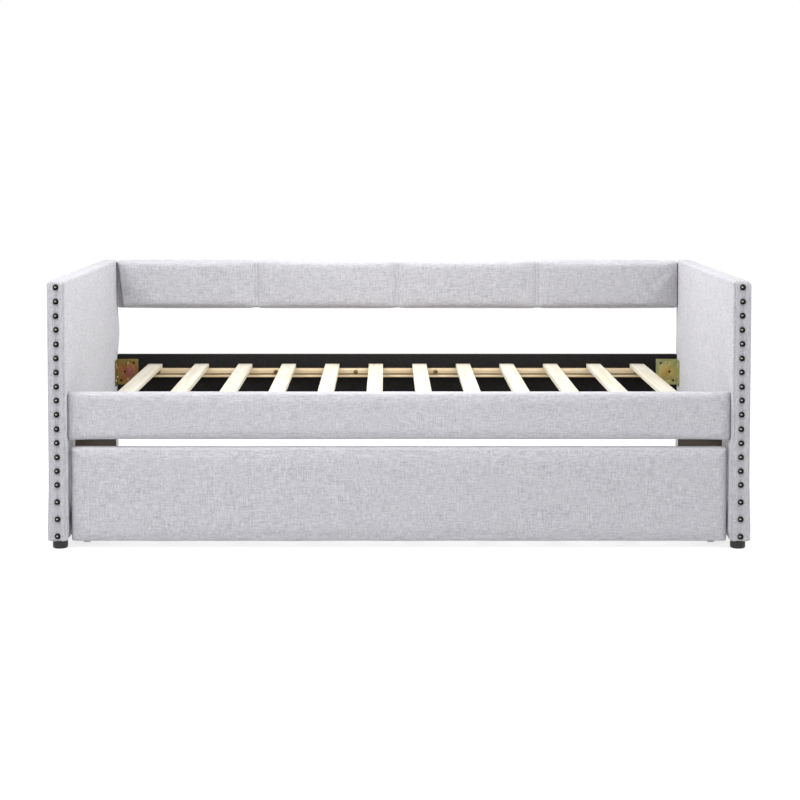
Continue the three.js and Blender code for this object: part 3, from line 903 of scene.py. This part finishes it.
for node_name in sorted(frame["nodes"]):
    if node_name.startswith(("slat_0", "slat_1", "trundle_slat_")):
        sawn_name = node_name.replace("slat", "pine_slat")
        refined(node_name, sawn_name, PINE_ACROSS, bevel=1.6, segments=3)
for node_name in ("trundle_ledger_front", "trundle_rear_rail"):
    refined(node_name, node_name + "_planed", PINE_ALONG, bevel=1.0)

# A ledger's outline, as (distance from its inner face towards the rail it is nailed to, height).
LEDGER_PROFILE = [
    (19.6, 0.0), (1.0, 0.0), (0.0, 1.0), (0.0, 3.6), (4.4, 8.4), (10.0, 8.4), (10.0, 12.8), (1.6, 13.2),
    (0.8, 14.0), (0.8, 23.6), (6.2, 30.0), (19.6, 30.0),
]


def moulded_ledger(end):
    """A ledger strip with a sloped top edge, a groove and a narrow lip below it."""
    node = f"slat_ledger_{end}"
    low, high = box(node)
    count = len(LEDGER_PROFILE)
    points = []
    for x in (low[0], high[0]):
        for inward, up in LEDGER_PROFILE:
            y = low[1] + inward if end == "rear" else high[1] - inward
            points.append((x, y, low[2] + up))
    faces = [(i, (i + 1) % count, count + (i + 1) % count, count + i) for i in range(count)]
    faces += [tuple(range(count))[::-1], tuple(range(count, 2 * count))]
    if end == "rear":
        faces = [face[::-1] for face in faces]
    shape = (points, faces)
    piece = piece_from(f"{node}_moulded", shape, PINE_ALONG, "daybed", sharp=20)
    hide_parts(node)


for end in ("front", "rear"):
    moulded_ledger(end)
for place in SIDES:
    side_rail = f"trundle_side_rail_{place}"
    refined(side_rail, f"{side_rail}_planed", PINE_ACROSS, bevel=1.2)
refined("rear_rail", "rear_rail_clothed", BLACK_CLOTH, bevel=2.5, segments=3)

PLATE_THICK = 2.5
# Bolts of a corner plate, as (distance from its leg's free edge, share of its height).
RAIL_BOLTS = ((37.0, 0.84), (37.0, 0.22))
ARM_BOLTS = ((15.0, 0.8), (15.0, 0.2), (38.0, 0.68), (38.0, 0.32))
BOLT_PROFILE = [
    (0, -0.4), (4.0, -0.4), (4.0, 0.3), (3.8, 0.6), (3.4, 0.7), (3.3, 1.0), (2.8, 1.7),
    (2.0, 2.2), (1.2, 2.3), (1.0, 1.7), (0, 1.6),
]


def make_plate(end, place):
    """A corner plate with the bolts that hold it to the rail and the arm."""
    node = f"corner_bracket_{end}_{place}"
    side = SIDES[place]
    zinc = ZINC_LEFT if place == "left" else ZINC_RIGHT
    refined(node, f"corner_plate_{end}_{place}", zinc, bevel=0.5)
    low, high = box(node)
    inner, outer = sorted((abs(low[0]), abs(high[0])))
    bolts = []
    rear = end == "rear"
    for across, share in RAIL_BOLTS:
        y = high[1] - PLATE_THICK if rear else low[1] + PLATE_THICK
        centre = np.array((side * (inner + across), y, low[2] + share * (high[2] - low[2])))
        bolts.append(turned(BOLT_PROFILE, centre, "y", rear, 32))
    for across, share in ARM_BOLTS:
        y = low[1] + across if rear else high[1] - across
        centre = np.array((side * (outer - PLATE_THICK), y, low[2] + share * (high[2] - low[2])))
        bolts.append(turned(BOLT_PROFILE, centre, "x", side > 0, 32))
    name = f"plate_bolts_{end}_{place}"
    piece_from(name, merged(bolts), ZINC_BOLT, "daybed", sharp=35)


for end, place in CORNERS:
    make_plate(end, place)

SCREW_PROFILE = [
    (0, -1.2), (7.8, -1.2), (7.8, 0.4), (7.4, 0.9), (5.4, 1.0), (5.3, 1.8), (4.6, 3.0), (3.4, 3.7),
    (2.2, 3.9), (1.9, 3.0), (0, 2.9),
]
LEDGER_SCREWS = (-835, -703, -424, -145, 134, 416, 696, 835)
LEDGER_SCREW_HEIGHT = 403
TRUNDLE_SCREW_HEIGHT = 75
SCREW_SINK = 0.8


def screw_row(name, y, z, facing_front, body):
    """A row of screw heads along a ledger's face."""
    shapes = []
    for x in LEDGER_SCREWS:
        shapes.append(turned(SCREW_PROFILE, np.array((x, y, z)), "y", facing_front, 20))
    piece_from(name, merged(shapes), BRASS, body, sharp=35)


rear_face = box("slat_ledger_rear")[0][1] + SCREW_SINK
front_face = box("slat_ledger_front")[1][1] - SCREW_SINK
trundle_face = box("trundle_ledger_front")[1][1]
screw_row("ledger_screws_rear", rear_face, LEDGER_SCREW_HEIGHT, True, "daybed")
screw_row("ledger_screws_front", front_face, LEDGER_SCREW_HEIGHT, False, "daybed")
screw_row("trundle_ledger_screws", trundle_face, TRUNDLE_SCREW_HEIGHT, False, "trundle")


# ---------------------------------------------------------------- feet and casters

FOOT_PROFILE = [
    (0, 0.6), (13, 0.6), (15, 0.0), (18.1, 0.0), (20.1, 0.5), (21.7, 2.0), (22.4, 4.2),
    (22.5, 7.0), (22.5, 16.5), (22.1, 18.0), (22.1, 21.6), (0, 21.6),
]
for end, place in CORNERS:
    low, high = box(f"foot_{end}_{place}")
    centre = np.array(((low[0] + high[0]) / 2, (low[1] + high[1]) / 2, 0))
    shape = turned(FOOT_PROFILE, centre, "z", steps=64)
    foot = piece_from(f"glide_{end}_{place}", shape, FOOT_PLASTIC, "daybed", sharp=50)
    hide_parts(f"foot_{end}_{place}")

WHEEL_STEPS = 72
WHEEL_PROFILE = [
    (4.1, -9.6), (7.5, -9.6), (8.0, -9.2), (8.6, -7.6), (17.6, -7.0), (18.6, -8.4), (19.4, -10.6),
    (20.4, -11.0), (22.6, -10.6), (24.2, -9.2), (24.9, -7.0), (25.0, -4.0), (25.0, 4.0), (24.9, 7.0),
    (24.2, 9.2), (22.6, 10.6), (20.4, 11.0), (19.4, 10.6), (18.6, 8.4), (17.6, 7.0), (8.6, 7.6),
    (8.0, 9.2), (7.5, 9.6), (4.1, 9.6),
]


def make_wheel(end, place):
    """A caster wheel with a rounded tread, a recessed web and a hub bored for its axle."""
    node = f"caster_wheel_{end}_{place}"
    low, high = box(node)
    points, faces = turned(WHEEL_PROFILE, (low + high) / 2, "x", steps=WHEEL_STEPS)
    faces = [face for face in faces if len(face) < 5]
    last = (len(WHEEL_PROFILE) - 1) * WHEEL_STEPS
    bore = []
    for step in range(WHEEL_STEPS):
        after = (step + 1) % WHEEL_STEPS
        bore.append((last + step, last + after, after, step))
    wheel = piece_from(
        f"nylon_wheel_{end}_{place}", (points, faces + bore), WHEEL_PLASTIC, f"wheel_{end}_{place}",
    )
    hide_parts(node)


for end, place in CORNERS:
    make_wheel(end, place)
    refined(f"caster_bracket_{end}_{place}", f"caster_fork_{end}_{place}", STEEL, bevel=0.5)


# ---------------------------------------------------------------- dust cloths

CLOTH_THICK = 0.7
CLOTH_GAP = 0.25
CLOTH_SAG = 0.9


def cloth_sheet(name, corner, across, up, facing, body, material, seed):
    """A thin closed sheet stapled flat: across and up are (axis, length), facing is (axis, sign)."""
    (axis_a, length_a), (axis_u, length_u) = across, up
    axis_f, sign = facing
    count_a, count_u = max(6, int(length_a / 14)), max(4, int(length_u / 12))
    points, faces = [], []
    for layer in (0, 1):
        for i in range(count_a + 1):
            for j in range(count_u + 1):
                a, u = i / count_a, j / count_u
                place = np.array(corner, float)
                place[axis_a] += a * length_a
                place[axis_u] += u * length_u
                rim = min(a * length_a, (1 - a) * length_a, u * length_u, (1 - u) * length_u)
                loose = min(1.0, rim / 25)
                sag = 0.5 + 0.5 * noise.noise(Vector((a * length_a / 60, u * length_u / 45, seed)))
                place[axis_f] += sign * (CLOTH_GAP + CLOTH_SAG * loose * sag + layer * CLOTH_THICK)
                points.append(place)
    row, layer_size = count_u + 1, (count_a + 1) * (count_u + 1)
    turn = (axis_f == 1) ^ (sign < 0) ^ (axis_a > axis_u)

    def add(face):
        faces.append(face[::-1] if turn else face)

    for i in range(count_a):
        for j in range(count_u):
            a, b, c, d = i * row + j, (i + 1) * row + j, (i + 1) * row + j + 1, i * row + j + 1
            add((d, c, b, a))
            add(tuple(layer_size + v for v in (a, b, c, d)))
    rim = [i * row for i in range(count_a + 1)]
    rim += [count_a * row + j for j in range(1, count_u + 1)]
    rim += [i * row + count_u for i in range(count_a - 1, -1, -1)]
    rim += [j for j in range(count_u - 1, 0, -1)]
    for here, there in zip(rim, rim[1:] + rim[:1]):
        add((here, there, layer_size + there, layer_size + here))
    piece = piece_from(name, (points, faces), material, body, sharp=60)


arm_face = box("arm_cover_right")[0][0]
for place, side in SIDES.items():
    cloth_sheet(
        f"arm_dust_cloth_{place}", (side * arm_face, -375, 60), across=(1, 845), up=(2, 255),
        facing=(0, -side), body="daybed", material=DUST_CLOTH,
        seed=2 + side,
    )
cloth_sheet(
    "front_rail_dust_cloth", (-960, front_rail.high[1], 330), across=(0, 1920), up=(2, 26),
    facing=(1, 1), body="daybed", material=BLACK_CLOTH, seed=5,
)
cloth_sheet(
    "trundle_dust_cloth", (-945, trundle_front.high[1], 110), across=(0, 1890), up=(2, 176),
    facing=(1, 1), body="trundle", material=BLACK_CLOTH, seed=6,
)


# ---------------------------------------------------------------- camera, floor and light

# The floor's own glow and its grey, lit by white surroundings, add up to white.
FLOOR_GLOW = 0.76
FLOOR_GREY = 0.24
FLOOR_HALF = 40.0

# The camera stands in front of the bed, a little above it, and is tilted slightly down.
CAMERA_PLACE = (-0.038, -6.000, 1.178)
CAMERA_TILT = 3
CAMERA_LENS, CAMERA_SENSOR = 84.0, 36.0
CAMERA_SHIFT = (0.0172, -0.1901)

# Lamps, as name: place, target, size in metres, power in watts and spread in degrees.
MIDDLE = (0, 0, 0.45)
LAMPS = {
    "key_high": ((-3.2, -2.0, 3.8), MIDDLE, 1.6, 126, 180),
    "right_high": ((3.2, -2.0, 3.8), MIDDLE, 1.6, 78, 180),
    "rear_high": ((0, 3.6, 3.4), MIDDLE, 2.5, 30, 180),
    "left_inner": ((-0.7, 0.25, 2.1), (0.98, -0.05, 0.55), 0.6, 7.3, 80),
    "right_inner": ((0.7, 0.25, 2.1), (-0.98, -0.05, 0.55), 0.6, 3.5, 80),
    "right_front": ((0.75, -1.3, 2.3), (-0.98, 0, 0.6), 0.7, 6.4, 90),
}


def make_floor():
    """A pale plain floor that stays almost white and takes a faint contact shadow."""
    half = FLOOR_HALF
    corners = [(-half, -half, 0), (half, -half, 0), (half, half, 0), (-half, half, 0)]
    mesh = bpy.data.meshes.new("studio_floor")
    mesh.from_pydata(corners, [], [(0, 1, 2, 3)])
    recipe = Recipe("studio_floor", Roughness=1.0, Specular_IOR_Level=0.0)
    recipe.colour((FLOOR_GREY, FLOOR_GREY, FLOOR_GREY, 1))
    recipe.shader.inputs["Emission Color"].default_value = (1, 1, 1, 1)
    recipe.shader.inputs["Emission Strength"].default_value = FLOOR_GLOW
    mesh.materials.append(recipe.material)
    floor = bpy.data.objects.new("studio_floor", mesh)
    bpy.context.scene.collection.objects.link(floor)


def make_light(name, place, target, size, power, spread):
    """A soft square lamp aimed at a point."""
    data = bpy.data.lights.new(name, "AREA")
    data.shape = "SQUARE"
    data.size = size
    data.energy = power
    data.spread = math.radians(spread)
    lamp = bpy.data.objects.new(name, data)
    lamp.location = place
    lamp.rotation_euler = (Vector(target) - Vector(place)).to_track_quat("-Z", "Y").to_euler()
    bpy.context.scene.collection.objects.link(lamp)


def make_camera():
    data = bpy.data.cameras.new("camera")
    data.lens, data.sensor_width = CAMERA_LENS, CAMERA_SENSOR
    data.shift_x, data.shift_y = CAMERA_SHIFT
    camera = bpy.data.objects.new("camera", data)
    camera.location = CAMERA_PLACE
    camera.rotation_euler = (math.radians(90 - CAMERA_TILT), 0, 0)
    bpy.context.scene.collection.objects.link(camera)
    bpy.context.scene.camera = camera


def make_world():
    """Even white surroundings."""
    world = bpy.data.worlds.new("studio")
    world.use_nodes = True
    background = world.node_tree.nodes["Background"].inputs
    background["Color"].default_value = (1, 1, 1, 1)
    background["Strength"].default_value = 1.0
    bpy.context.scene.world = world


make_world()
make_floor()
for lamp_name, settings in LAMPS.items():
    make_light(lamp_name, *settings)
make_camera()
bpy.context.scene.view_settings.view_transform = "Standard"
